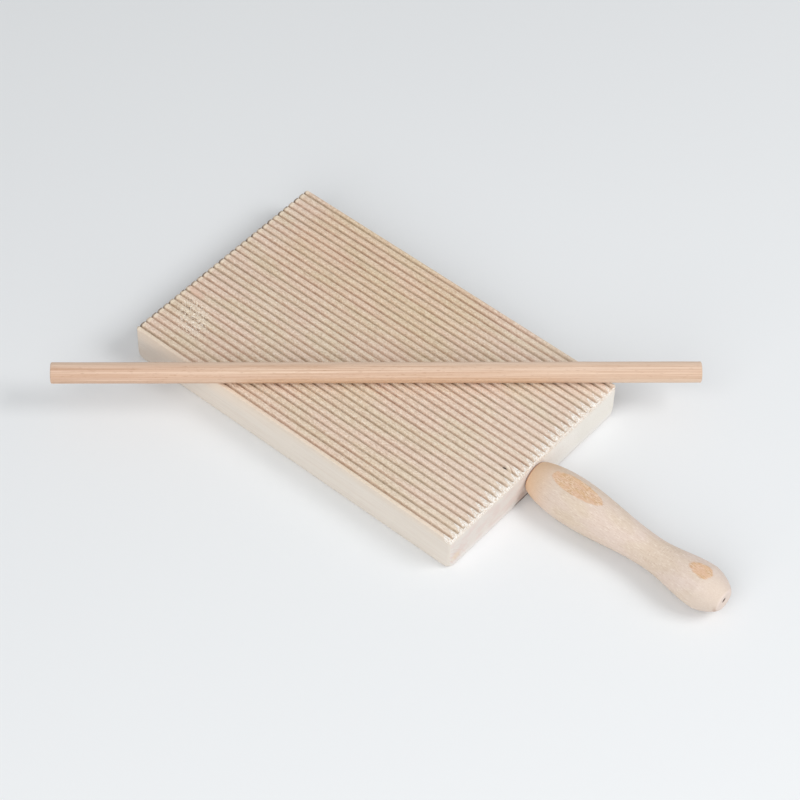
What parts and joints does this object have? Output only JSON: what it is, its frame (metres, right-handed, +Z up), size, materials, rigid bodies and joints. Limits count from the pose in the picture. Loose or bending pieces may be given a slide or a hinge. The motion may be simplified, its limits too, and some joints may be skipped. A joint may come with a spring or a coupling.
{
  "type": "garganelli board",
  "caption": "Ridged wooden board with a turned handle and a loose plain rolling pin, for shaping garganelli and gnocchi.",
  "frame": {"origin": "centre of the board's flat underside, where it stands on the table", "axes": "+X along the ridges, out through the handle; +Y across the board; +Z up, out of the ridges"},
  "size_m": [0.3062, 0.2048, 0.0301],
  "materials": {
    "board_wood": "planed and unfinished, matt",
    "handle_wood": "turned and sanded, satin",
    "pin_wood": "sanded dowel, satin"
  },
  "bodies": {
    "board": {"board": "board_wood", "handle": "handle_wood"},
    "rolling_pin": {"rolling_pin": "pin_wood"}
  },
  "joints": [
    {"name": "pin_roll", "type": "slide", "parent": "board", "child": "rolling_pin", "axis": [0.6626, -0.749, 0], "range_m": [-0.085, 0.05]}
  ]
}
